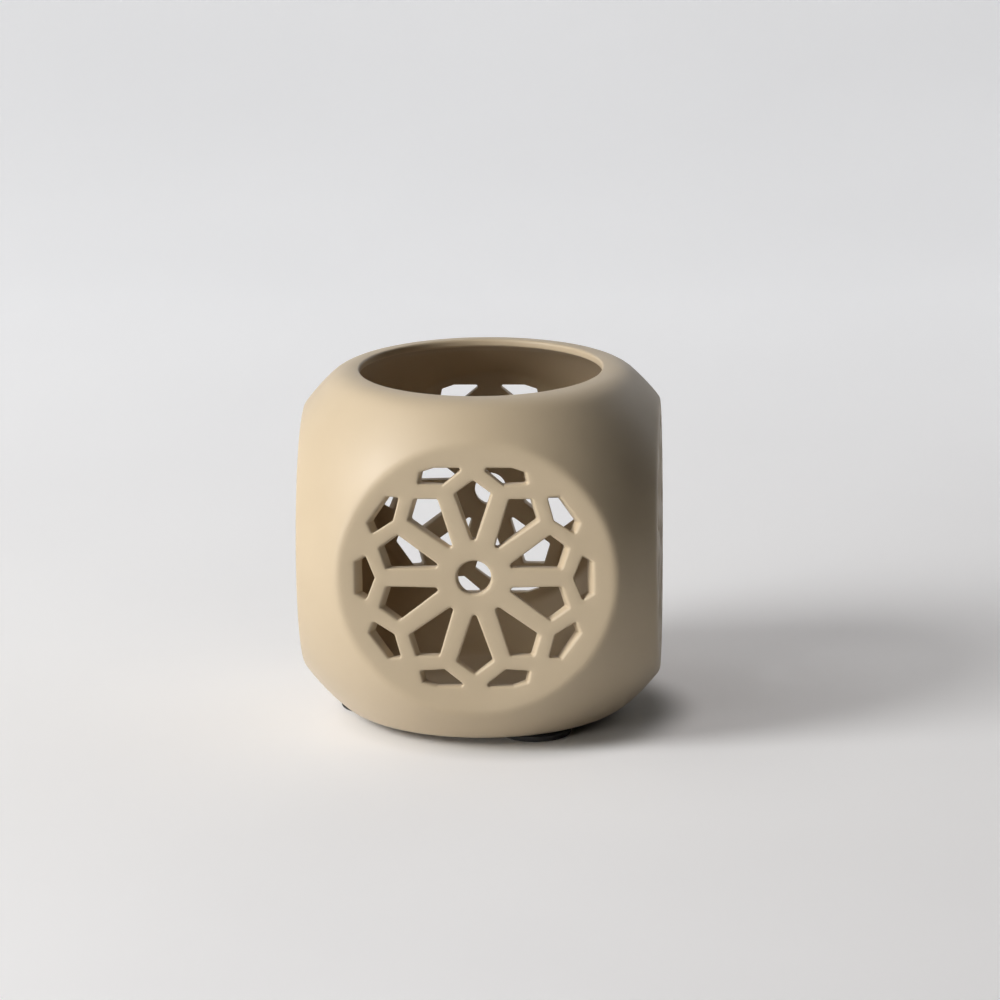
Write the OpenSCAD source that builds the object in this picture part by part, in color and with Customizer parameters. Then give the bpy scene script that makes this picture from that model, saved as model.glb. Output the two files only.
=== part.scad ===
// Tealight holder: a hollow ceramic block, half cube and half sphere, whose four side
// faces are pierced with a ten-petal rosette. It stands on three stick-on rubber feet.
// Millimetres, +Z up. The origin is the centre of the footprint, at the underside of the
// feet, and -Y is the front. All four sides are alike.

/* [Body] */
// Width and depth across the flat side faces
body_w = 100; // [90:1:110]
// Height of the ceramic from its base to the rim of the mouth
body_h = 97; // [88:1:102]
// Diameter of the flat round side faces, before their edges are blended
face_d = 75; // [70:0.5:80]
// Radius that blends each flat round face into the sphere round the block
edge_r = 9.5; // [6:0.5:11]
// Thickness of the ceramic wall
wall = 3.2; // [2:0.1:5]

/* [Mouth] */
// Diameter of the round mouth in the top
mouth_d = 67.2; // [45:0.1:76]
// Radius of the rounded lip round the mouth
lip_r = 0.7; // [0.5:0.1:1.5]

/* [Rosette] */
// Number of petals round the centre hole
petals = 10; // [8:1:12]
// Height of the centre of the rosette above the middle of the ceramic
rosette_rise = 1; // [0:0.1:1.5]
// Diameter of the round hole at the centre
eye_d = 9.6; // [4:0.1:11]
// Width of the ring between the round hole and the pointed ends of the petals
hub_rib = 4.5; // [3:0.1:6]
// Length of a petal from its pointed end to its blunt outer end
petal_length = 18.2; // [14:0.1:19]
// Distance that the blunt end of a petal stands out past its two shoulders
petal_cap = 3.2; // [1:0.1:5]
// Width of the ribs between the shoulders of neighbouring petals
petal_rib = 5.1; // [3.5:0.1:6]
// Height of a border hole from its inner point to its two side corners
border_cheek = 3.1; // [2:0.1:4]
// Height of a border hole from its inner point to its straight outer side
border_depth = 5.3; // [4.5:0.1:6.5]
// Length of the straight outer side of a border hole
border_side = 9.1; // [6:0.1:10]
// Distance from the outer ends of the petals to the level sides of the top and bottom border holes
border_level = 3.5; // [3.2:0.1:6]
// Width of the ribs between the side corners of neighbouring border holes
border_rib = 6.6; // [5:0.1:8]
// Radius of the corners of the petals and border holes
corner_r = 0.4; // [0.3:0.1:1.2]

/* [Feet] */
// Diameter of a foot
foot_d = 20; // [12:0.5:24]
// Thickness of a foot
foot_t = 1.5; // [1:0.1:4]
// Radius of the soft lower edge of a foot
foot_edge_r = 0.5; // [0.2:0.1:0.8]
// Distance from the rim of the flat base in to the centre of a foot
foot_inset = 5.2; // [4:0.1:12]

/* [Hidden] */
$fn = 128;
// how far a cutting shape runs past the surface that it cuts
over = 1;
// number of facets round the small corners of the holes
corner_fn = 8;
// the sphere that passes through the edges of the flat side faces
sphere_r = norm([body_w, face_d]) / 2;
centre_z = foot_t + body_h / 2;
// middle of the fillet between the flat top, or the flat base, and the sphere
rim_arc_z = body_h / 2 - edge_r;
rim_arc_x = sqrt(pow(sphere_r - edge_r, 2) - pow(rim_arc_z, 2));
// distances from the centre of the rosette
petal_step = 360 / petals;
petal_tip = eye_d / 2 + hub_rib;
petal_end = petal_tip + petal_length;
petal_shoulder = petal_end - petal_cap;
border_end = petal_end + border_depth;
border_shoulder = petal_end + border_cheek;
// how far the outermost corner of the border lies from the middle of the side
border_reach = norm([border_end, border_side / 2]) + rosette_rise;
// Depths, from the upright axis, between which the holes of a side are cut: from inside the
// cavity, both behind the flat face and behind the sphere at the border, to beyond the sphere.
inside_flat = body_w / 2 - wall;
inside_border = sqrt(pow(sphere_r - wall, 2) - pow(border_reach, 2));
cut_start = min(inside_flat, inside_border) - over;
cut_end = sphere_r + over;

// the point at distance r from the centre, turned by angle a
function polar(r, a) = [r * cos(a), r * sin(a)];

// Everything beyond one flat round face of the block, which lies at height `half` above the
// centre, and beyond the fillet between that face and the sphere. The axis of the face is Z.
module beyond_face(half, outer_r, blend_r) {
    arc_h = half - blend_r;
    arc_x = sqrt(pow(outer_r - blend_r, 2) - pow(arc_h, 2));
    reach = (outer_r + over) / (outer_r - blend_r);
    rotate_extrude()
        difference() {
            polygon([
                [0, half],
                [arc_x, half],
                [arc_x, arc_h],
                [arc_x, arc_h] * reach,
                [arc_x * reach, outer_r + over],
                [0, outer_r + over]
            ]);
            translate([arc_x, arc_h]) circle(blend_r);
        }
}

// a sphere cut by six flat faces, with every edge blended
module block(width, height, outer_r, blend_r) {
    difference() {
        sphere(outer_r);
        for (turn = [0:90:270])
            rotate([90, 0, turn]) beyond_face(width / 2, outer_r, blend_r);
        for (turn = [0, 180])
            rotate([turn, 0, 0]) beyond_face(height / 2, outer_r, blend_r);
    }
}

// the inside follows the outside at the thickness of the wall
module cavity() {
    block(body_w - 2 * wall, body_h - 2 * wall, sphere_r - wall, edge_r - wall);
}

// whether the point p, beside the upright axis, lies between the fillet round the top and the
// middle of that fillet
function by_fillet(p) = p.x > rim_arc_x && p.y / p.x >= rim_arc_z / rim_arc_x;

// the point at distance x from the upright axis that lies `depth` under the top of the block:
// under the flat rim, under the fillet round it, or under the sphere
function under_top(x, depth) =
    let(under_sphere = [x, sqrt(pow(sphere_r - depth, 2) - x * x)])
    x <= rim_arc_x ? [x, body_h / 2 - depth]
    : by_fillet(under_sphere) ? [x, rim_arc_z + sqrt(pow(edge_r - depth, 2) - pow(x - rim_arc_x, 2))]
    : under_sphere;

// the direction, square to the top of the block, in which the point p meets it
function outward(p) =
    let(from = p.x <= rim_arc_x ? [p.x, 0] : by_fillet(p) ? [rim_arc_x, rim_arc_z] : [0, 0])
    (p - from) / norm(p - from);

// the round mouth and the roll of its lip, which is tangent to the mouth and to the rim
module mouth() {
    lip = under_top(mouth_d / 2 + lip_r, lip_r);
    lip_end = lip + lip_r * outward(lip);
    rotate_extrude()
        difference() {
            square([lip_end.x, body_h / 2 + over]);
            translate(lip) circle(lip_r);
            translate([mouth_d / 2, -over]) square([lip_end.x, lip.y + over]);
        }
}

module round_corners() {
    offset(r = corner_r, $fn = corner_fn) offset(delta = -corner_r) children();
}

// one kite-shaped petal, pointing along +X
module petal() {
    half_angle = petal_step / 2 - asin(petal_rib / 2 / petal_shoulder);
    polygon([
        [petal_tip, 0],
        polar(petal_shoulder, half_angle),
        [petal_end, 0],
        polar(petal_shoulder, -half_angle)
    ]);
}

// One five-sided hole of the border, which points at the rib between two petals. Its point
// lies on the circle through the outer ends of the petals. In the face, the hole is turned by
// angle, and above and below the petals its outer corner is cut off level.
module border_hole(angle) {
    half_angle = petal_step / 2 - asin(border_rib / 2 / border_shoulder);
    intersection() {
        polygon([
            [petal_end, 0],
            polar(border_shoulder, half_angle),
            [border_end, border_side / 2],
            [border_end, -border_side / 2],
            polar(border_shoulder, -half_angle)
        ]);
        rotate(-angle) square([2 * border_reach, 2 * (petal_end + border_level)], center = true);
    }
}

// The holes of the front face, with a petal straight up. Each hole is cut straight through
// the wall, toward the upright axis of the block. The eye lies square to the face.
module front_cuts() {
    for (i = [0:petals - 1]) {
        petal_angle = 90 + i * petal_step;
        border_angle = petal_angle + petal_step / 2;
        cut_to_axis(petal_angle, (petal_tip + petal_end) / 2) petal();
        cut_to_axis(border_angle, (petal_end + border_end) / 2) border_hole(border_angle);
    }
    rotate([90, 0, 0]) translate([0, 0, cut_start]) cylinder(d = eye_d, h = cut_end - cut_start);
}

// One hole of the front face. The outline of the hole, which points along +X, is turned by
// angle round the centre of the face. The middle of the hole is at distance r. On the face
// the hole keeps its true outline, so the slanted cut is made narrower by the slant.
module cut_to_axis(angle, r) {
    side = r * cos(angle);
    slant = atan2(side, body_w / 2);
    rotate([90, 0, slant])
        translate([0, 0, cut_start])
            linear_extrude(height = cut_end - cut_start)
                scale([cos(slant), 1])
                    translate([-side, 0])
                        rotate(angle) round_corners() children();
}

module ceramic_body() {
    color("#cbb795")
        translate([0, 0, centre_z])
            difference() {
                block(body_w, body_h, sphere_r, edge_r);
                cavity();
                mouth();
                for (turn = [0:90:270])
                    translate([0, 0, rosette_rise]) rotate([0, 0, turn]) front_cuts();
            }
}

// a round stick-on foot under the rim of the flat base, at the given turn from the front
module foot(turn) {
    color("#1c1b1a")
        rotate([0, 0, turn]) translate([0, foot_inset - rim_arc_x, 0])
            rotate_extrude() {
                translate([0, foot_edge_r]) square([foot_d / 2, foot_t - foot_edge_r]);
                square([foot_d / 2 - foot_edge_r, foot_t]);
                translate([foot_d / 2 - foot_edge_r, foot_edge_r]) circle(foot_edge_r);
            }
}

module foot_left() { foot(270); }
module foot_front_right() { foot(30); }
module foot_back_right() { foot(150); }

ceramic_body();
foot_left();
foot_front_right();
foot_back_right();
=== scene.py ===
"""The looks of the tealight holder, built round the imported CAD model.

The ceramic body is drawn as one clean mesh that follows the CAD body: a ball cut by six flats,
hollow, with a round mouth and four pierced sides. On top of the CAD shape it has the soft edges
that glaze leaves round every hole, and the slightly uneven form of the real piece. The feet are
the CAD nodes in a rubber material. Lengths of the ceramic are in millimetres until a mesh is
made, with its middle as their origin, and those of the studio are in metres. The front is -Y.
"""

import math

import bpy
import numpy as np
from mathutils import Matrix, Vector
from mathutils.geometry import delaunay_2d_cdt


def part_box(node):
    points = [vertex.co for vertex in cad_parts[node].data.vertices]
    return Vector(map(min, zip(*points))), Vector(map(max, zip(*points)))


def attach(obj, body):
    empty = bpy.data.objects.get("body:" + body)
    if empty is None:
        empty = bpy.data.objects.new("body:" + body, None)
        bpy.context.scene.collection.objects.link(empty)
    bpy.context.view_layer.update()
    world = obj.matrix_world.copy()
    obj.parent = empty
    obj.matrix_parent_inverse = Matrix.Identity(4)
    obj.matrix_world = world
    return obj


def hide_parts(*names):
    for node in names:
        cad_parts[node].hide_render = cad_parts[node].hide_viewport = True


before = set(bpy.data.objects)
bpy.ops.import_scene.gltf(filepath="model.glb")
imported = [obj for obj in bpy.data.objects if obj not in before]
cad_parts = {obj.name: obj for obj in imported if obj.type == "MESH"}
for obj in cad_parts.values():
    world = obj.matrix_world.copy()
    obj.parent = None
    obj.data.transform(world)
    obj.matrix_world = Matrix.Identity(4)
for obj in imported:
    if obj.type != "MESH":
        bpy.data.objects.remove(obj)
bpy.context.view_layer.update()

MM = 0.001

# ---------------------------------------------------------------- sizes, in millimetres

body_low, body_high = (np.array(corner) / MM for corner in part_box("ceramic_body"))
HALF_W = (body_high[0] - body_low[0]) / 2
HALF_H = (body_high[2] - body_low[2]) / 2
CENTRE_Z = (body_high[2] + body_low[2]) / 2
FACE_R = 37.5            # radius of the flat disc of a side, before its edge is rounded
SPHERE_R = math.hypot(HALF_W, FACE_R)
RIM_EDGE_R = 9.5         # where the flat top, or the base, turns into the ball
FACE_EDGE_R = 3.3        # the same at the four sides, where the glaze keeps a crisper edge
WALL = 3.2
BALL_SHIFT = np.array([0.6, -0.8, 0.6])     # how far the ball lies from the middle of the flats
MOUTH_R = 33.95
LIP_R = 0.7              # upper edge of the mouth
LIP_UNDER_R = 0.5        # lower edge of the mouth
LIP_WALL = 2.1           # the top thins out to this at the mouth
LIP_THINNING = 4.0       # width of the ring in which it does

PETALS = 10
ROSETTE_RISE = 1.0       # how far the centre of a rosette lies above the middle
EYE_R = 4.8              # the round hole at the centre
HUB_RIB = 4.5            # from the eye to the tips of the petals
PETAL_LENGTH = 18.2
PETAL_CAP = 3.2          # length of the outer end of a petal, beyond its shoulders
PETAL_RIB = 5.1          # between two petals, at their shoulders
BORDER_CHEEK = 3.1       # from the inner tip of a border hole to its shoulders
BORDER_DEPTH = 5.3       # from the inner tip to its straight outer side
BORDER_SIDE = 9.1        # length of its outer side
BORDER_LEVEL = 3.5       # the holes are cut off level this far above and below the petals
BORDER_RIB = 6.6         # between two border holes, at their shoulders
PETAL_CORNER_R = 0.7
BORDER_CORNER_R = 0.5

# radius that the glaze leaves on the edges of the holes, outside and inside
HOLE_EDGE_OUT = 0.62
HOLE_EDGE_IN = 0.4

# axis, distance from the middle and edge radius of each pair of flats
FLATS = ((0, HALF_W, FACE_EDGE_R), (1, HALF_W, FACE_EDGE_R), (2, HALF_H, RIM_EDGE_R))

# ---------------------------------------------------------------- mesh density

STEP = 1.35              # spacing of the points on the skin
BORDER_STEP = 1.15 * STEP    # the same along the top and the bottom of a side
GRID_GAP = 0.55 * STEP       # least distance from the grid of a side to its border and its holes
BASE_GAP = 0.6 * STEP        # the same for the base and its rim
HOLE_STEP = 1.1          # spacing of the points along the straight sides of a hole
CORNER_STEPS = 5         # steps round a corner of a hole
EDGE_STEPS = 3           # steps across the rounded edge of a hole
LIP_STEPS = 6            # steps round the upper edge of the mouth
LIP_UNDER_STEPS = 4      # steps round its lower edge
LIP_SLOPE_STEPS = 4      # steps across the ring where the top thins
SIDE_TOP = 39.0          # height, from the middle, up to which a side is one sheet
HALVINGS = 40            # of the search for the skin along a ray
SAME_POINT = 1e-6        # points of a flat triangulation that are closer than this are one
WELD_PER_MM = 1e4        # points that agree on a grid as fine as this are welded
BASE_MARGIN = 3          # the disc of the base ends this many shifts of the ball inside its flat
TINY = 1e-9              # what rounding may add to a number that should be zero


# ---------------------------------------------------------------- the shape of the block

def face_distance(along, across, half, sphere_r, edge_r):
    """Signed distance to a ball cut by one flat face, with a fillet between the two.
    along is measured on the axis of the face, and across is the distance from that axis."""
    arc_along = half - edge_r
    arc_across = math.sqrt((sphere_r - edge_r) ** 2 - arc_along**2)
    slope = arc_along / arc_across
    flat = along - half
    ball = np.hypot(along, across) - sphere_r
    fillet = np.hypot(along - arc_along, across - arc_across) - edge_r
    on_fillet = (across >= arc_across) & (along >= across * slope)
    return np.where(on_fillet, fillet, np.where(along < across * slope, ball, flat))


def block_distance(points, inset):
    """Signed distance from points to the block, or to its inside if inset is the wall."""
    from_ball = points - BALL_SHIFT
    sphere_r = SPHERE_R - inset
    distances = []
    for axis, half, edge_r in FLATS:
        across = np.linalg.norm(np.delete(from_ball, axis, axis=1), axis=1)
        for side in (1, -1):
            along = side * from_ball[:, axis]
            flat_at = half - inset - side * BALL_SHIFT[axis]
            distances.append(face_distance(along, across, flat_at, sphere_r, edge_r - inset))
    return np.maximum.reduce(distances)


def reach(starts, directions, inset):
    """How far from starts, along directions, the skin of the block lies."""
    near, far = np.zeros(len(starts)), np.full(len(starts), 2 * SPHERE_R)
    for _ in range(HALVINGS):
        middle = (near + far) / 2
        outside = block_distance(starts + directions * middle[:, None], inset) > 0
        near, far = np.where(outside, near, middle), np.where(outside, middle, far)
    return (near + far) / 2


def radial(face_x, quarter):
    """Unit directions away from the upright axis through the points face_x on the flat face of a
    side. Quarter counts the sides from the front towards the right."""
    turn = np.arctan2(face_x, HALF_W) + quarter * math.pi / 2
    return np.stack([np.sin(turn), -np.cos(turn), np.zeros(len(turn))], axis=1)


def side_points(face_xz, quarter, depth, inset=0.0):
    """Points on a side. face_xz are places on its flat face, which are carried out from the
    upright axis to the skin that inset names, and depth is how far they then lie inside it."""
    directions = radial(face_xz[:, 0], quarter)
    starts = np.zeros((len(face_xz), 3))
    starts[:, 2] = face_xz[:, 1]
    r = reach(starts, directions, inset) - depth
    return starts + directions * r[:, None]


# ---------------------------------------------------------------- outlines of the holes

def polar(r, angle):
    """The point at that distance and angle from the origin of a plane."""
    return np.array([r * math.cos(angle), r * math.sin(angle)])


def petal():
    """The four corners of a petal that points along +X from the centre of the rosette."""
    tip = EYE_R + HUB_RIB
    end = tip + PETAL_LENGTH
    shoulder = end - PETAL_CAP
    half = math.pi / PETALS - math.asin(PETAL_RIB / 2 / shoulder)
    return [polar(tip, 0), polar(shoulder, -half), polar(end, 0), polar(shoulder, half)]


def border_hole(angle):
    """The corners of a border hole whose outer side looks along +X. In the rosette the hole is
    turned by angle, and above and below the petals its outer corner is cut off level."""
    tip = EYE_R + HUB_RIB + PETAL_LENGTH
    shoulder, end = tip + BORDER_CHEEK, tip + BORDER_DEPTH
    half = math.pi / PETALS - math.asin(BORDER_RIB / 2 / shoulder)
    corners = [
        polar(tip, 0),
        polar(shoulder, -half),
        np.array([end, -BORDER_SIDE / 2]),
        np.array([end, BORDER_SIDE / 2]),
        polar(shoulder, half),
    ]
    return cut_level(corners, angle, tip + BORDER_LEVEL)


def cut_level(corners, angle, level):
    """What is left of a polygon that is turned by angle in the rosette, when all that is more
    than level above or below the centre is cut off. The polygon stays in its own frame."""
    for side in (1, -1):
        height = side * np.array([math.sin(angle), math.cos(angle)])
        kept = []
        for corner, following in zip(corners, corners[1:] + corners[:1]):
            room, next_room = level - corner @ height, level - following @ height
            if room >= 0:
                kept.append(corner)
            if room * next_room < 0:
                kept.append(corner + (following - corner) * room / (room - next_room))
        corners = kept
    return corners


class Outline:
    """A closed outline with round corners. Its points are anchors + normals * (radius + offset),
    so that the same points serve for rings at any offset."""

    def __init__(self, anchors, normals, radius):
        self.anchors, self.normals, self.radius = anchors, normals, radius

    def at(self, offset):
        return self.anchors + self.normals * (self.radius + offset)


def round_outline(corners, radius):
    """The outline of a convex polygon, given anticlockwise, with corners of that radius."""
    corners = np.array(corners)
    edges = np.roll(corners, -1, axis=0) - corners
    edges /= np.linalg.norm(edges, axis=1)[:, None]
    normals = np.stack([edges[:, 1], -edges[:, 0]], axis=1)
    before = np.roll(normals, 1, axis=0)
    bend = 1 + (before * normals).sum(axis=1)
    inner = corners - radius * (before + normals) / bend[:, None]
    anchors, directions = [], []
    for i, start in enumerate(inner):
        first, last = math.atan2(*before[i][::-1]), math.atan2(*normals[i][::-1])
        sweep = (last - first) % (2 * math.pi)
        for angle in first + sweep * np.linspace(0, 1, CORNER_STEPS + 1):
            anchors.append(start)
            directions.append(polar(1, angle))
        stop = inner[(i + 1) % len(inner)]
        pieces = max(1, round(np.linalg.norm(stop - start) / HOLE_STEP))
        for share in np.arange(1, pieces) / pieces:
            anchors.append(start + (stop - start) * share)
            directions.append(normals[i])
    return Outline(np.array(anchors), np.array(directions), radius)


def round_hole(radius):
    """The outline of the round hole at the centre."""
    count = round(2 * math.pi * radius / HOLE_STEP)
    directions = np.array([polar(1, 2 * math.pi * i / count) for i in range(count)])
    return Outline(np.zeros((count, 2)), directions, radius)


def turned(outline, angle):
    """The outline turned round the centre of the rosette and set at the rosette's height."""
    c, s = math.cos(angle), math.sin(angle)
    turn = np.array([[c, s], [-s, c]])
    rise = np.array([0, ROSETTE_RISE])
    return Outline(outline.anchors @ turn + rise, outline.normals @ turn, outline.radius)


def rosette():
    """The outlines of all the holes of one side, with a petal straight up."""
    step = 2 * math.pi / PETALS
    petal_shape = round_outline(petal(), PETAL_CORNER_R)
    found = [turned(round_hole(EYE_R), 0)]
    for i in range(PETALS):
        petal_angle = math.pi / 2 + i * step
        border_angle = petal_angle + step / 2
        border_shape = round_outline(border_hole(border_angle), BORDER_CORNER_R)
        found.append(turned(petal_shape, petal_angle))
        found.append(turned(border_shape, border_angle))
    return found


# ---------------------------------------------------------------- meshes

class Mesh:
    """Vertices and faces that are joined up piece by piece."""

    def __init__(self):
        self.points, self.faces, self.count = [], [], 0

    def add(self, points):
        """Takes in new vertices and returns their indices."""
        first = self.count
        self.points.append(points)
        self.count += len(points)
        return np.arange(first, self.count)

    def triangles(self, corners, flip=False):
        """Takes in triangles, as rows of three indices."""
        self.faces.append(corners[:, ::-1] if flip else corners)

    def strip(self, ring_a, ring_b, closed=True, flip=False):
        """Joins two rows of as many vertices. Seen with row b to the left of row a's
        direction, the faces look at the viewer, unless flip is set."""
        a, b = (ring_a, ring_b) if not flip else (ring_b, ring_a)
        if closed:
            a, b = np.append(a, a[0]), np.append(b, b[0])
        one = np.stack([a[:-1], a[1:], b[1:]], axis=1)
        two = np.stack([a[:-1], b[1:], b[:-1]], axis=1)
        self.faces += [one, two]

    def result(self):
        """All points, with those that coincide made one, and all faces."""
        points, faces = np.concatenate(self.points), np.concatenate(self.faces)
        keys = np.round(points * WELD_PER_MM).astype(np.int64)
        _, first, same = np.unique(keys, axis=0, return_index=True, return_inverse=True)
        faces = same.ravel()[faces]
        whole = (faces != np.roll(faces, 1, axis=1)).all(axis=1)
        return points[first], faces[whole]


def mesh_object(name, points, faces, material):
    """A smooth Blender object from points in millimetres."""
    mesh = bpy.data.meshes.new(name)
    mesh.from_pydata((points * MM).tolist(), [], faces.tolist())
    mesh.validate()
    mesh.shade_smooth()
    mesh.materials.append(material)
    made = bpy.data.objects.new(name, mesh)
    bpy.context.scene.collection.objects.link(made)
    return made


def row(low, high, step):
    """Numbers from low to high, evenly spaced and about a step apart."""
    return np.linspace(low, high, max(2, round((high - low) / step) + 1))


def side_edge():
    """Places along the top of a side, and along the upright border between two sides. The
    sheet of each side and the caps share them, so that they join without a seam."""
    return row(-HALF_W, HALF_W, BORDER_STEP), row(-SIDE_TOP, SIDE_TOP, STEP)


def triangulated(places, edges):
    """Triangles, as indices of places in a plane, that keep the given edges."""
    everything_inside_the_hull = 0
    points, _, triangles, *_ = delaunay_2d_cdt(
        [Vector(place) for place in places], edges, [], everything_inside_the_hull, SAME_POINT
    )
    if len(points) != len(places):
        raise RuntimeError("the triangulation added or merged points")
    return np.array(triangles)


def closed_edges(start, count):
    """The edges of a closed loop of that many points, from index start on."""
    return [(start + i, start + (i + 1) % count) for i in range(count)]


def skin_triangles(outlines):
    """Triangulates one side, as places on its flat face, between its border and its holes.
    Returns the places, the triangles and, for each hole, the indices of its ring."""
    across, upright = side_edge()
    border = [(x, -SIDE_TOP) for x in across[:-1]]
    border += [(HALF_W, z) for z in upright[:-1]]
    border += [(x, SIDE_TOP) for x in across[:0:-1]]
    border += [(-HALF_W, z) for z in upright[:0:-1]]
    loops = [np.array(border)] + [o.at(HOLE_EDGE_OUT) for o in outlines]
    fixed = np.concatenate(loops)
    starts = np.cumsum([0] + [len(loop) for loop in loops])
    edges = []
    for start, loop in zip(starts, loops):
        edges += closed_edges(start, len(loop))

    inner = grid_between(HALF_W - GRID_GAP, SIDE_TOP - GRID_GAP)
    inner = inner[far_from(inner, outlines, HOLE_EDGE_OUT + GRID_GAP)]
    places = np.concatenate([fixed, inner])
    triangles = triangulated(places, edges)
    # a triangle whose three corners lie on the ring of one hole fills that hole
    owner = np.full(len(places), -1)
    for n, (start, loop) in enumerate(zip(starts, loops)):
        owner[start:start + len(loop)] = n
    corner_owner = owner[triangles]
    in_hole = (corner_owner[:, 0] > 0) & (corner_owner == corner_owner[:, :1]).all(axis=1)
    rings = [np.arange(a, a + len(loop)) for a, loop in zip(starts[1:], loops[1:])]
    return places, triangles[~in_hole], rings


def grid_between(half_x, half_z):
    """Points of a triangular grid inside a rectangle round the origin."""
    height = STEP * math.sqrt(3) / 2
    rows = int(half_z / height)
    points = []
    for j in range(-rows, rows + 1):
        shift = STEP / 2 if j % 2 else 0
        count = int((half_x - shift) / STEP)
        xs = np.arange(-count, count + 1) * STEP + shift
        xs = xs[np.abs(xs) <= half_x]
        points.append(np.stack([xs, np.full(len(xs), j * height)], axis=1))
    return np.concatenate(points)


def far_from(points, outlines, gap):
    """Which points lie outside every outline by more than gap."""
    keep = np.ones(len(points), bool)
    for outline in outlines:
        ring = outline.at(0)
        centre = ring.mean(axis=0)
        size = np.linalg.norm(ring - centre, axis=1).max() + gap
        near = np.flatnonzero(keep & (np.linalg.norm(points - centre, axis=1) < size))
        steps = np.roll(ring, -1, axis=0) - ring
        lengths = np.maximum(np.linalg.norm(steps, axis=1), TINY)
        for i in near:
            offset = points[i] - ring
            along = np.clip((offset * steps).sum(axis=1) / lengths**2, 0, 1)
            distance = np.linalg.norm(offset - along[:, None] * steps, axis=1).min()
            turn = steps[:, 0] * offset[:, 1] - steps[:, 1] * offset[:, 0]
            inside = (turn >= -TINY).all()
            keep[i] = not inside and distance > gap
    return keep


def hole_profile(thickness):
    """Offsets and depths of the rings from the outer skin, round the edge, down the wall of the
    hole and round the inner edge to the inner skin, for walls of the given thicknesses. The two
    skins share their places, so the inner edge spreads as far as the outer one."""
    rings = []
    for angle in np.linspace(math.pi / 2, 0, EDGE_STEPS + 1):
        offset = HOLE_EDGE_OUT * (1 - math.cos(angle))
        rings.append((offset, np.full(len(thickness), HOLE_EDGE_OUT * (1 - math.sin(angle)))))
    for angle in np.linspace(0, math.pi / 2, EDGE_STEPS + 1):
        offset = HOLE_EDGE_OUT * (1 - math.cos(angle))
        rings.append((offset, thickness - HOLE_EDGE_IN * (1 - math.sin(angle))))
    return rings


def pierced_side(quarter, outlines, places, triangles, rings):
    """One side of the wall: its outer skin, its inner skin and the walls of its holes."""
    mesh = Mesh()
    outer = mesh.add(side_points(places, quarter, 0.0))
    inner = mesh.add(side_points(places, quarter, 0.0, WALL))
    mesh.triangles(outer[triangles])
    mesh.triangles(inner[triangles], flip=True)
    for outline, ring in zip(outlines, rings):
        flat = outline.at(0)
        wall = side_points(flat, quarter, 0.0) - side_points(flat, quarter, 0.0, WALL)
        last = outer[ring]
        profile = hole_profile(np.linalg.norm(wall, axis=1))
        for offset, depth in profile[1:-1]:
            new = mesh.add(side_points(outline.at(offset), quarter, depth))
            mesh.strip(last, new)
            last = new
        mesh.strip(last, inner[ring])
    return mesh


def ring_turns():
    """The turns round the upright axis at which the rows of the caps have their points."""
    across, _ = side_edge()
    quarter = np.arctan2(across[:-1], HALF_W)
    return np.concatenate([quarter + k * math.pi / 2 for k in range(4)])


def ring_at(turns, r, z):
    """A level ring of points of radius r at height z."""
    return np.stack([r * np.sin(turns), -r * np.cos(turns), z + np.zeros(len(turns))], axis=1)


def cap_rows(side, inset, rim_r):
    """Rows of points along the skin, from the top edge of the four sides to the circle of
    radius rim_r on the flat top. If side is -1, the same at the bottom."""
    turns = ring_turns()
    starts = np.zeros((len(turns), 3))
    starts[:, 2] = side * SIDE_TOP
    level = ring_at(turns, 1.0, 0.0)
    first = starts + level * reach(starts, level, inset)[:, None]
    first_angle = np.arctan2(np.abs(first[:, 2]), np.hypot(first[:, 0], first[:, 1]))
    last_angle = math.atan2(HALF_H - inset, rim_r)
    length = (last_angle - first_angle.min()) * SPHERE_R
    rows = [first]
    for share in np.linspace(0, 1, max(2, round(length / STEP)) + 1)[1:]:
        angle = first_angle + (last_angle - first_angle) * share
        directions = level * np.cos(angle)[:, None]
        directions[:, 2] = side * np.sin(angle)
        origin = np.zeros((len(turns), 3))
        rows.append(directions * reach(origin, directions, inset)[:, None])
    return rows


def join_rows(mesh, rows, flip=False):
    """Joins rows of points. Rows that run up the outside face outwards, unless flip is set."""
    last = mesh.add(rows[0])
    for points in rows[1:]:
        new = mesh.add(points)
        mesh.strip(last, new, flip=flip)
        last = new


def top_cap():
    """The top of the wall, outside and inside, up to the mouth, and the roll of its lip."""
    mesh, turns = Mesh(), ring_turns()
    lip_x, lip_z = MOUTH_R + LIP_R, HALF_H - LIP_R
    under_x, under_z = MOUTH_R + LIP_UNDER_R, HALF_H - LIP_WALL + LIP_UNDER_R
    outer = cap_rows(1, 0.0, lip_x)
    lip = []
    for angle in np.linspace(math.pi / 2, math.pi, LIP_STEPS + 1)[1:]:
        x = lip_x + LIP_R * math.cos(angle)
        lip.append(ring_at(turns, x, lip_z + LIP_R * math.sin(angle)))
    for angle in np.linspace(math.pi, 1.5 * math.pi, LIP_UNDER_STEPS + 1):
        x = under_x + LIP_UNDER_R * math.cos(angle)
        lip.append(ring_at(turns, x, under_z + LIP_UNDER_R * math.sin(angle)))
    inner = cap_rows(1, WALL, under_x + LIP_THINNING)[::-1]
    slope = []
    for share in np.arange(1, LIP_SLOPE_STEPS) / LIP_SLOPE_STEPS:
        x = under_x + LIP_THINNING * share
        depth = LIP_WALL + (WALL - LIP_WALL) * (1 - math.cos(math.pi * share)) / 2
        slope.append(ring_at(turns, x, HALF_H - depth))
    join_rows(mesh, outer + lip + slope + inner)
    return mesh


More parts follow.
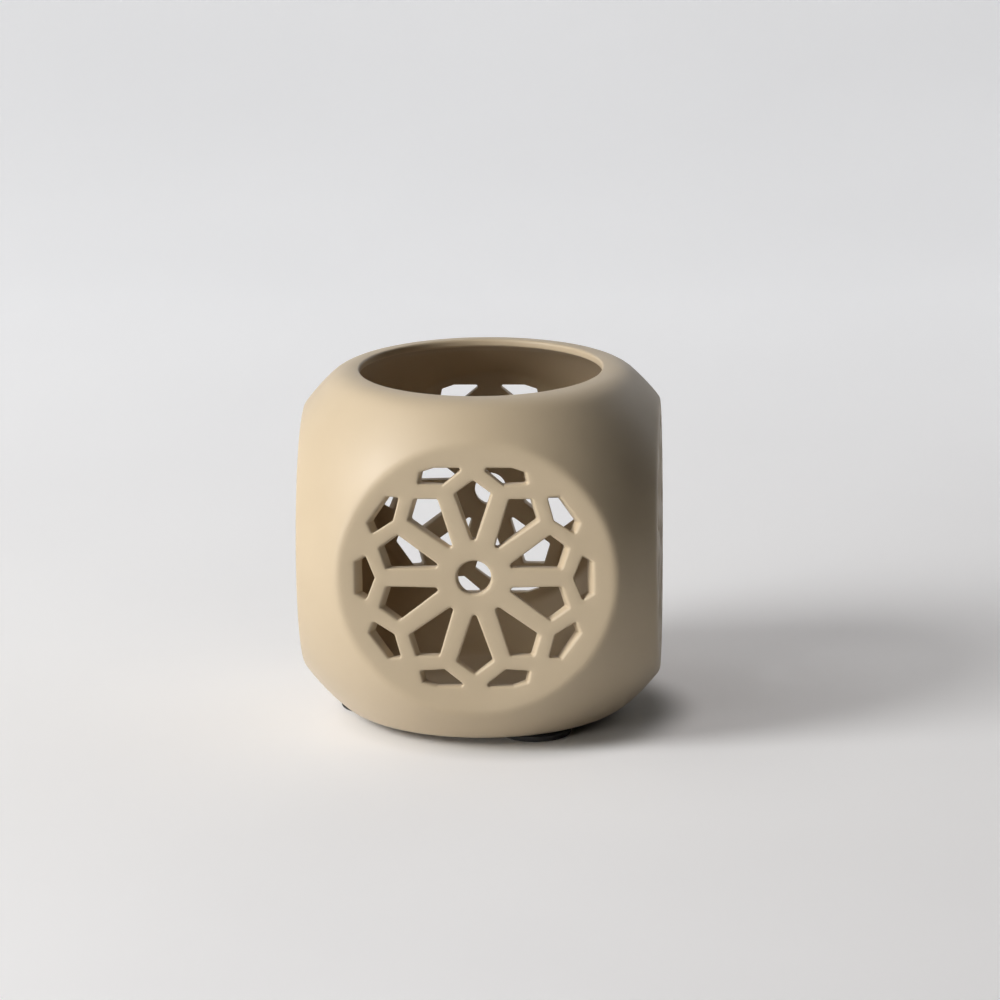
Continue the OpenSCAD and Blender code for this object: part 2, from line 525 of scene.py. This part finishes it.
def base():
    """The closed base: its flat underside and floor, and the curves that lead to the sides."""
    mesh, turns = Mesh(), ring_turns()
    flat_r = math.sqrt((SPHERE_R - RIM_EDGE_R) ** 2 - (HALF_H - RIM_EDGE_R) ** 2)
    rim_r = flat_r - BASE_MARGIN * np.linalg.norm(BALL_SHIFT)
    rim = ring_at(turns, rim_r, 0)[:, :2]
    inner = grid_between(rim_r, rim_r)
    inner = inner[np.linalg.norm(inner, axis=1) < rim_r - BASE_GAP]
    places = np.concatenate([rim, inner])
    triangles = triangulated(places, closed_edges(0, len(rim)))
    for inset in (0.0, WALL):
        flip = inset == 0
        join_rows(mesh, cap_rows(-1, inset, rim_r), flip)
        level = -(HALF_H - inset)
        disc = mesh.add(np.column_stack([places, np.full(len(places), level)]))
        mesh.triangles(disc[triangles], flip=flip)
    return mesh


def ceramic_mesh():
    """The whole body: four sides with the same holes, the top and the base."""
    outlines = rosette()
    skin = skin_triangles(outlines)
    sides = [pierced_side(quarter, outlines, *skin) for quarter in range(4)]
    whole = Mesh()
    for part in (*sides, top_cap(), base()):
        corners = whole.add(np.concatenate(part.points))
        whole.triangles(corners[np.concatenate(part.faces)])
    points, faces = whole.result()
    return points + [0, 0, CENTRE_Z], faces


# ---------------------------------------------------------------- materials

GLAZE_DARK, GLAZE_LIGHT = (0.585, 0.462, 0.306), (0.625, 0.499, 0.336)
# painted shade: the inside of the wall gets these darker browns in place of the glaze colours
INSIDE_SHADE_DARK, INSIDE_SHADE_LIGHT = (0.44, 0.33, 0.20), (0.50, 0.385, 0.245)
RUBBER_DARK, RUBBER_LIGHT = (0.024, 0.023, 0.021), (0.038, 0.036, 0.033)
PAPER_DARK, PAPER_LIGHT = (0.69, 0.69, 0.687), (0.73, 0.73, 0.726)
# depths in the wall, in millimetres, between which the glaze gives way to the painted shade of the
# inside
INSIDE_SHADE_START, INSIDE_SHADE_FULL = WALL - 0.6, WALL - 0.1
NOISE_LOW, NOISE_HIGH = 0.3, 0.7     # nearly all values of a noise lie between these

# The camera sees the paper lifted by these colours, from the front to the back of the floor.
# Places on the floor and radii there are in metres.
LIFT_FRONT_Y, LIFT_BACK_Y = -0.2, 0.8
PAPER_LIFT = [
    (0.00, (0.240, 0.228, 0.227)),
    (0.20, (0.243, 0.232, 0.229)),
    (0.43, (0.312, 0.305, 0.310)),
    (0.72, (0.385, 0.385, 0.398)),
    (1.00, (0.325, 0.325, 0.338)),
]
# Nothing is added in the shade close under the object, which lies a little to its right.
SHADE_CENTRE, SHADE_CORE_R, SHADE_END_R = (0.0095, -0.005, 0), 0.037, 0.054


def new_material(name, base_color, roughness):
    """A material with its shader's plain values set, and what is needed to wire noise into it:
    its nodes, its links, its shader and the place of the shaded point."""
    material = bpy.data.materials.new(name)
    material.use_nodes = True
    nodes, links = material.node_tree.nodes, material.node_tree.links
    shader = nodes["Principled BSDF"]
    shader.inputs["Base Color"].default_value = (*base_color, 1)
    shader.inputs["Roughness"].default_value = roughness
    place = nodes.new("ShaderNodeTexCoord").outputs["Object"]
    return material, nodes, links, shader, place


def noise(nodes, links, place, scale, detail=2):
    """A noise of about scale cells a metre."""
    node = nodes.new("ShaderNodeTexNoise")
    node.inputs["Scale"].default_value = scale
    node.inputs["Detail"].default_value = detail
    links.new(place, node.inputs["Vector"])
    return node.outputs["Fac"]


def ramp(nodes, links, value, stops):
    """A colour ramp with (place, colour) stops."""
    node = nodes.new("ShaderNodeValToRGB")
    elements = node.color_ramp.elements
    while len(elements) < len(stops):
        elements.new(0.5)
    for element, (place, color) in zip(elements, stops):
        element.position = place
        element.color = (*color, 1)
    links.new(value, node.inputs["Fac"])
    return node.outputs["Color"]


def two_tones(nodes, links, value, dark, light):
    """A noise taken to the colours from dark to light."""
    return ramp(nodes, links, value, [(NOISE_LOW, dark), (NOISE_HIGH, light)])


def map_range(nodes, links, value, low, high, smooth=False):
    """A value from low to high taken to the range 0 to 1. Returns the node, for other ranges."""
    node = nodes.new("ShaderNodeMapRange")
    node.inputs["From Min"].default_value = low
    node.inputs["From Max"].default_value = high
    if smooth:
        node.interpolation_type = "SMOOTHSTEP"
    links.new(value, node.inputs["Value"])
    return node


def spread(nodes, links, value, low, high):
    """A noise taken to the range low to high."""
    node = map_range(nodes, links, value, NOISE_LOW, NOISE_HIGH)
    node.inputs["To Min"].default_value = low
    node.inputs["To Max"].default_value = high
    return node.outputs["Result"]


def bump(nodes, links, height, distance, strength, below=None):
    """The normal of a surface with that height, on top of the bump below if there is one."""
    node = nodes.new("ShaderNodeBump")
    node.inputs["Distance"].default_value = distance
    node.inputs["Strength"].default_value = strength
    links.new(height, node.inputs["Height"])
    if below is not None:
        links.new(below, node.inputs["Normal"])
    return node.outputs["Normal"]


def math_node(nodes, links, operation, first, second):
    """first and second are sockets or plain numbers."""
    node = nodes.new("ShaderNodeMath")
    node.operation = operation
    for socket, value in zip(node.inputs, (first, second)):
        if isinstance(value, (int, float)):
            socket.default_value = value
        else:
            links.new(value, socket)
    return node.outputs["Value"]


def vector_node(nodes, links, operation, vector, other=None):
    """A vector operation on a socket and, where it takes one, on a plain vector."""
    node = nodes.new("ShaderNodeVectorMath")
    node.operation = operation
    links.new(vector, node.inputs[0])
    if other is not None:
        node.inputs[1].default_value = other
    return node.outputs["Value" if operation in ("LENGTH", "DISTANCE") else "Vector"]


def depth_in_wall(nodes, links, place):
    """How deep, in metres, a point of the body lies under the outside of the block."""
    middle = np.array([0, 0, CENTRE_Z])
    from_middle = vector_node(nodes, links, "SUBTRACT", place, middle * MM)
    from_ball = vector_node(nodes, links, "SUBTRACT", place, (middle + BALL_SHIFT) * MM)
    length = vector_node(nodes, links, "LENGTH", from_ball)
    depth = math_node(nodes, links, "SUBTRACT", SPHERE_R * MM, length)
    parts = nodes.new("ShaderNodeSeparateXYZ")
    links.new(vector_node(nodes, links, "ABSOLUTE", from_middle), parts.inputs[0])
    for axis, half in (("X", HALF_W), ("Y", HALF_W), ("Z", HALF_H)):
        under_face = math_node(nodes, links, "SUBTRACT", half * MM, parts.outputs[axis])
        depth = math_node(nodes, links, "MINIMUM", depth, under_face)
    return depth


def ceramic_material():
    """Matte sand-coloured glaze, a little uneven in tone, with a fine grain. Inside the wall it is
    painted a darker brown, as painted shade in the hollow."""
    material, nodes, links, shader, place = new_material(
        "ceramic_glaze", base_color=(0.60, 0.47, 0.32), roughness=0.5
    )
    cloud = noise(nodes, links, place, scale=28, detail=3)
    # painted shade: deep in the wall, on the inside, the colour turns to the darker browns
    depth = depth_in_wall(nodes, links, place)
    inside_shade = map_range(nodes, links, depth, INSIDE_SHADE_START * MM, INSIDE_SHADE_FULL * MM, smooth=True)
    mix = nodes.new("ShaderNodeMix")
    mix.data_type = "RGBA"
    links.new(inside_shade.outputs["Result"], mix.inputs["Factor"])
    links.new(two_tones(nodes, links, cloud, GLAZE_DARK, GLAZE_LIGHT), mix.inputs["A"])
    links.new(two_tones(nodes, links, cloud, INSIDE_SHADE_DARK, INSIDE_SHADE_LIGHT), mix.inputs["B"])
    links.new(mix.outputs["Result"], shader.inputs["Base Color"])
    shader.inputs["Sheen Weight"].default_value = 0.15
    shader.inputs["Sheen Roughness"].default_value = 0.5
    patches = noise(nodes, links, place, scale=60)
    links.new(spread(nodes, links, patches, low=0.44, high=0.54), shader.inputs["Roughness"])
    waves = noise(nodes, links, place, scale=90)
    grain = noise(nodes, links, place, scale=1600)
    soft = bump(nodes, links, waves, distance=0.0004, strength=0.25)
    fine = bump(nodes, links, grain, distance=0.00004, strength=0.35, below=soft)
    links.new(fine, shader.inputs["Normal"])
    return material


def rubber_material():
    """Matt black rubber with a fine grain."""
    material, nodes, links, shader, place = new_material(
        "foot_rubber", base_color=(0.03, 0.028, 0.026), roughness=0.8
    )
    cloud = noise(nodes, links, place, scale=300)
    color = two_tones(nodes, links, cloud, RUBBER_DARK, RUBBER_LIGHT)
    links.new(color, shader.inputs["Base Color"])
    links.new(spread(nodes, links, cloud, low=0.72, high=0.86), shader.inputs["Roughness"])
    grain = noise(nodes, links, place, scale=2500)
    fine = bump(nodes, links, grain, distance=0.00005, strength=0.5)
    links.new(fine, shader.inputs["Normal"])
    return material


def floor_material():
    """Matt pale paper. To the camera it looks a little lighter than the light on it makes it."""
    material, nodes, links, shader, place = new_material(
        "floor_paper", base_color=(0.82, 0.82, 0.82), roughness=0.9
    )
    cloud = noise(nodes, links, place, scale=6, detail=3)
    paper = two_tones(nodes, links, cloud, PAPER_DARK, PAPER_LIGHT)
    links.new(paper, shader.inputs["Base Color"])
    grain = noise(nodes, links, place, scale=900)
    fine = bump(nodes, links, grain, distance=0.0001, strength=0.2)
    links.new(fine, shader.inputs["Normal"])

    parts = nodes.new("ShaderNodeSeparateXYZ")
    links.new(place, parts.inputs[0])
    back = map_range(nodes, links, parts.outputs["Y"], LIFT_FRONT_Y, LIFT_BACK_Y)
    lift = ramp(nodes, links, back.outputs["Result"], PAPER_LIFT)
    links.new(lift, shader.inputs["Emission Color"])
    path = nodes.new("ShaderNodeLightPath").outputs
    seen = math_node(nodes, links, "MAXIMUM", path["Is Camera Ray"], path["Is Glossy Ray"])
    from_shade = vector_node(nodes, links, "DISTANCE", place, SHADE_CENTRE)
    outside = map_range(nodes, links, from_shade, SHADE_CORE_R, SHADE_END_R, smooth=True)
    strength = math_node(nodes, links, "MULTIPLY", seen, outside.outputs["Result"])
    links.new(strength, shader.inputs["Emission Strength"])
    return material


# ---------------------------------------------------------------- the object

ceramic = mesh_object("ceramic_shell", *ceramic_mesh(), ceramic_material())
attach(ceramic, "root")
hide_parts("ceramic_body")

rubber = rubber_material()
for name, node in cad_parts.items():
    if name.startswith("foot_"):
        node.data.materials.clear()
        node.data.materials.append(rubber)

# ---------------------------------------------------------------- the studio, in metres

FLOOR_FRONT = -3.0       # where the floor begins
FLOOR_HALF_W = 3.0
SWEEP_START = 0.55       # where behind the object the paper starts to curve up
SWEEP_R = 0.8
SWEEP_TOP = 2.4
SWEEP_STEPS = 32
LAMP_DISTANCE = 1.5

# The photograph's camera, from a fit to the outline, the mouth and the rosette. The lens and
# the sensor are in millimetres, and the angles in radians.
CAMERA_LENS, CAMERA_SENSOR = 218.38, 36.0
CAMERA_PLACE = (0.084534, -1.649089, 0.491754)
CAMERA_PAN, CAMERA_TILT, CAMERA_ROLL = -0.0482306, -0.2557735, -0.0117189
CLIP_NEAR, CLIP_FAR = 0.01, 50


def make_floor(material):
    """A pale paper sweep: a floor that curves up into a backdrop behind the object."""
    profile = [(FLOOR_FRONT, 0.0)]
    for angle in np.linspace(0, math.pi / 2, SWEEP_STEPS + 1):
        y = SWEEP_START + SWEEP_R * math.sin(angle)
        profile.append((y, SWEEP_R * (1 - math.cos(angle))))
    profile.append((SWEEP_START + SWEEP_R, SWEEP_TOP))
    left = np.array([(-FLOOR_HALF_W, y, z) for y, z in profile])
    right = left * [-1, 1, 1]
    sweep = Mesh()
    sweep.strip(sweep.add(left), sweep.add(right), closed=False, flip=True)
    points, faces = np.concatenate(sweep.points), np.concatenate(sweep.faces)
    mesh_object("floor", points / MM, faces, material)


def make_camera():
    """The view of the photograph: nearly square to the front and 15 degrees above level."""
    data = bpy.data.cameras.new("camera")
    data.sensor_width, data.lens = CAMERA_SENSOR, CAMERA_LENS
    data.clip_start, data.clip_end = CLIP_NEAR, CLIP_FAR
    camera = bpy.data.objects.new("camera", data)
    bpy.context.scene.collection.objects.link(camera)
    camera.location = CAMERA_PLACE
    level_reach = math.cos(CAMERA_TILT)
    forward = Vector((
        math.sin(CAMERA_PAN) * level_reach, math.cos(CAMERA_PAN) * level_reach, math.sin(CAMERA_TILT)
    ))
    level = Vector((math.cos(CAMERA_PAN), -math.sin(CAMERA_PAN), 0))
    upright = level.cross(forward)
    right = math.cos(CAMERA_ROLL) * level + math.sin(CAMERA_ROLL) * upright
    up = math.cos(CAMERA_ROLL) * upright - math.sin(CAMERA_ROLL) * level
    axes = Matrix((right, up, -forward)).transposed()
    camera.rotation_mode = "QUATERNION"
    camera.rotation_quaternion = axes.to_quaternion()
    bpy.context.scene.camera = camera


def make_lamp(name, azimuth, elevation, size, power):
    """A soft round lamp that looks at the middle of the object. Azimuth is from the front
    toward the right, and both angles are in degrees."""
    data = bpy.data.lights.new(name, "AREA")
    data.shape = "DISK"
    data.size = size
    data.energy = power
    lamp = bpy.data.objects.new(name, data)
    bpy.context.scene.collection.objects.link(lamp)
    turn, rise = math.radians(azimuth), math.radians(elevation)
    level = math.cos(rise)
    away = Vector((math.sin(turn) * level, -math.cos(turn) * level, math.sin(rise)))
    lamp.location = Vector((0, 0, CENTRE_Z * MM)) + away * LAMP_DISTANCE
    lamp.rotation_mode = "QUATERNION"
    lamp.rotation_quaternion = away.to_track_quat("Z", "Y")
    lamp.visible_camera = False


def make_dark_world():
    """No light of its own: the lamps and the paper light the object."""
    world = bpy.data.worlds.new("studio")
    bpy.context.scene.world = world
    world.use_nodes = True
    background = world.node_tree.nodes["Background"]
    background.inputs["Color"].default_value = (1, 1, 1, 1)
    background.inputs["Strength"].default_value = 0.0


make_floor(floor_material())
make_camera()
make_dark_world()
make_lamp("key", azimuth=-64, elevation=33, size=0.7, power=18.8)
make_lamp("low_fill", azimuth=-48, elevation=5, size=0.6, power=8.8)
make_lamp("overhead", azimuth=-110, elevation=60, size=1.0, power=2.3)
make_lamp("rear", azimuth=142, elevation=20, size=0.9, power=2.3)
bpy.context.scene.view_settings.view_transform = "Standard"
